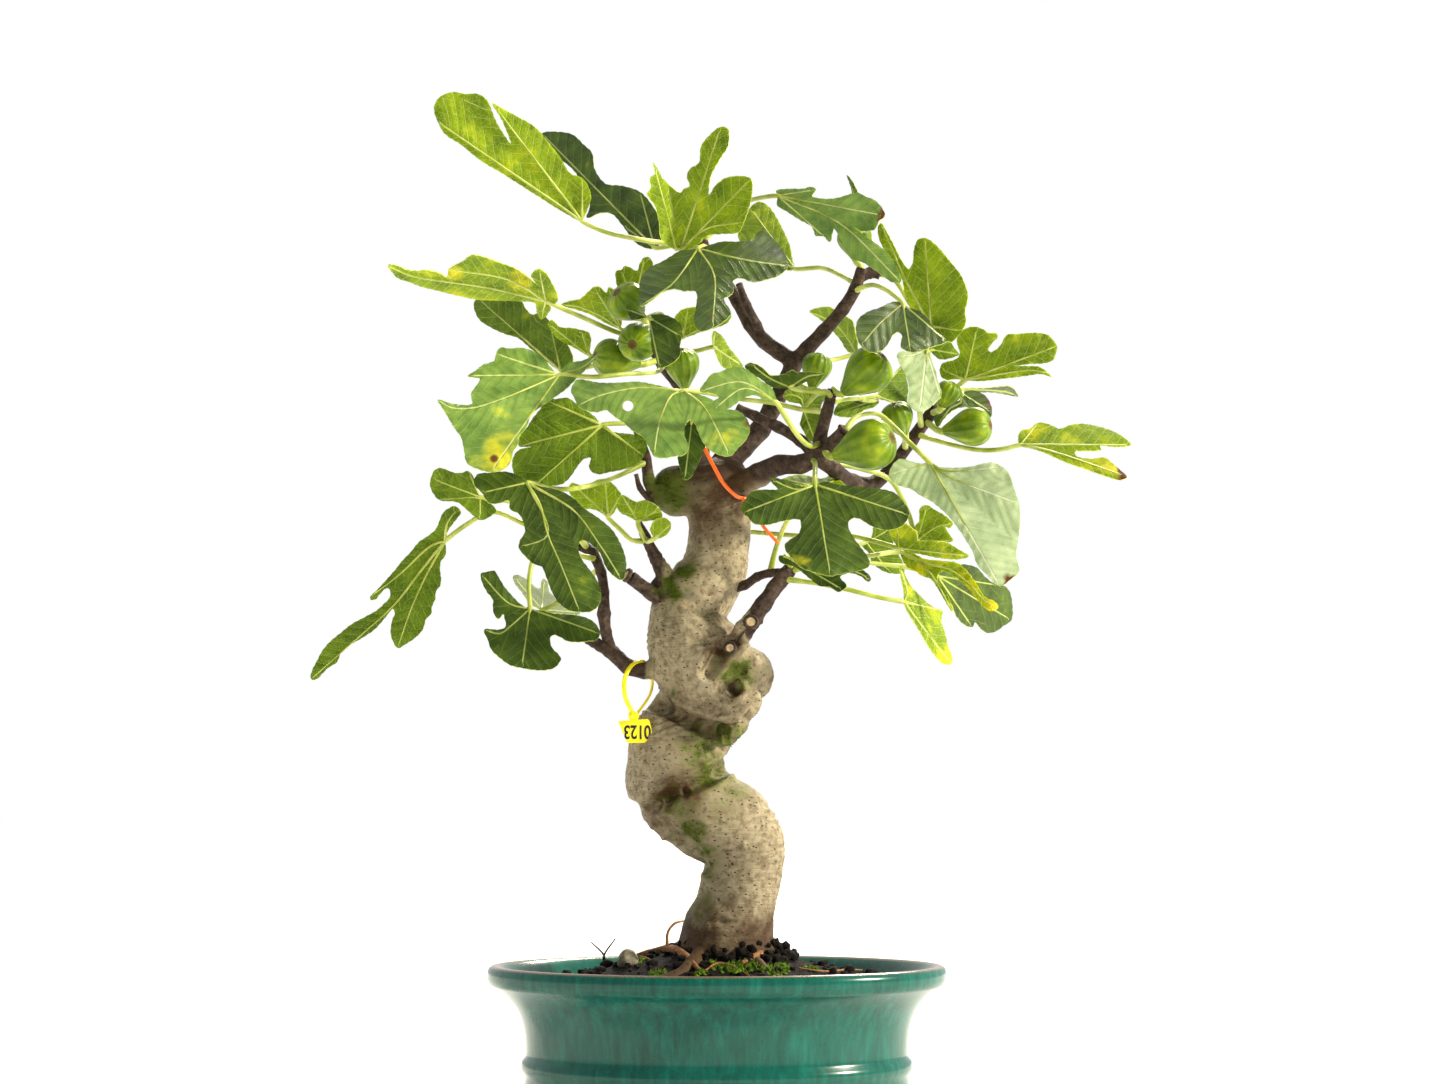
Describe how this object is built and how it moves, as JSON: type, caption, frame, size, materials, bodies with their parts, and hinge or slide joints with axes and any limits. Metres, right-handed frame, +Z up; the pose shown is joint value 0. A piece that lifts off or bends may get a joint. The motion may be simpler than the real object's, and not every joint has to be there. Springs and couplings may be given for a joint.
{
  "type": "fig bonsai",
  "caption": "Fig bonsai with a twisted trunk, lobed leaves and green figs, planted in an oval glazed pot.",
  "frame": {"origin": "on the ground under the middle of the whole plant and its pot", "axes": "+Z up along the tree, -Y towards the viewer of the picture, +X to that viewer's right"},
  "size_m": [0.4925, 0.296, 0.6614],
  "materials": {
    "glaze": "glossy green glaze",
    "screen_plastic": "matte",
    "soil": "crumbly potting soil",
    "bark": "smooth grey bark",
    "pebble": "rough",
    "tag_plastic": "satin",
    "tie_plastic": "satin",
    "fig_skin": "smooth green skin",
    "leaf_upper": "matte leaf",
    "leaf_lit": "matte leaf, light through it"
  },
  "bodies": {
    "root": {"pot": "glaze", "drain_screen": "screen_plastic", "soil": "soil", "tree": "bark", "pebble": "pebble", "tag": "tag_plastic", "tie": "tie_plastic", "fig_right_front": "fig_skin", "fig_right_top": "fig_skin", "fig_right_behind": "fig_skin", "fig_far_right_big": "fig_skin", "fig_far_right_small": "fig_skin", "fig_right_low": "fig_skin", "fig_left_top": "fig_skin", "fig_left_middle": "fig_skin", "fig_left_low": "fig_skin", "fig_left_right": "fig_skin", "fig_top_right": "fig_skin", "leaf_top_left_spear": "leaf_lit", "leaf_top_left_back": "leaf_upper", "leaves_top_shoot": "leaf_lit", "leaf_top_front": "leaf_upper", "leaf_top_middle_back": "leaf_lit", "leaf_top_right_front": "leaf_upper", "leaf_top_right_back": "leaf_lit", "leaf_right_high": "leaf_lit", "leaf_right_high_front": "leaf_upper", "leaves_far_right_tip": "leaf_lit", "leaf_right_draped": "leaf_upper", "leaf_right_behind_arm": "leaf_lit", "leaf_right_behind_figs": "leaf_lit", "leaf_far_right_behind": "leaf_upper", "leaf_far_right": "leaf_lit", "leaf_right_big_pale": "leaf_upper", "leaf_front_right": "leaf_upper", "leaf_low_right_behind": "leaf_upper", "leaf_right_edge_on": "leaf_lit", "leaf_right_lit": "leaf_lit", "leaf_right_pale_low": "leaf_lit", "leaf_right_yellow": "leaf_lit", "leaves_low_right": "leaf_upper", "leaf_low_right_hanging": "leaf_lit", "leaf_left_high": "leaf_lit", "leaf_left_second": "leaf_lit", "leaves_left_lit": "leaf_lit", "leaf_left_fig_top": "leaf_lit", "leaf_left_small_dark": "leaf_upper", "leaves_middle_back": "leaf_lit", "leaf_left_big": "leaf_upper", "leaf_left_under": "leaf_lit", "leaf_front_left": "leaf_upper", "leaf_left_lit_lobe": "leaf_lit", "leaf_far_left_hanging": "leaf_lit", "leaf_low_left": "leaf_upper", "leaf_low_left_behind": "leaf_upper", "leaf_middle_holed": "leaf_upper", "leaf_middle_hanging": "leaf_upper", "leaf_middle_arched": "leaf_upper", "leaves_right_spur": "leaf_upper", "leaves_low_sprig": "leaf_lit"}
  },
  "joints": []
}
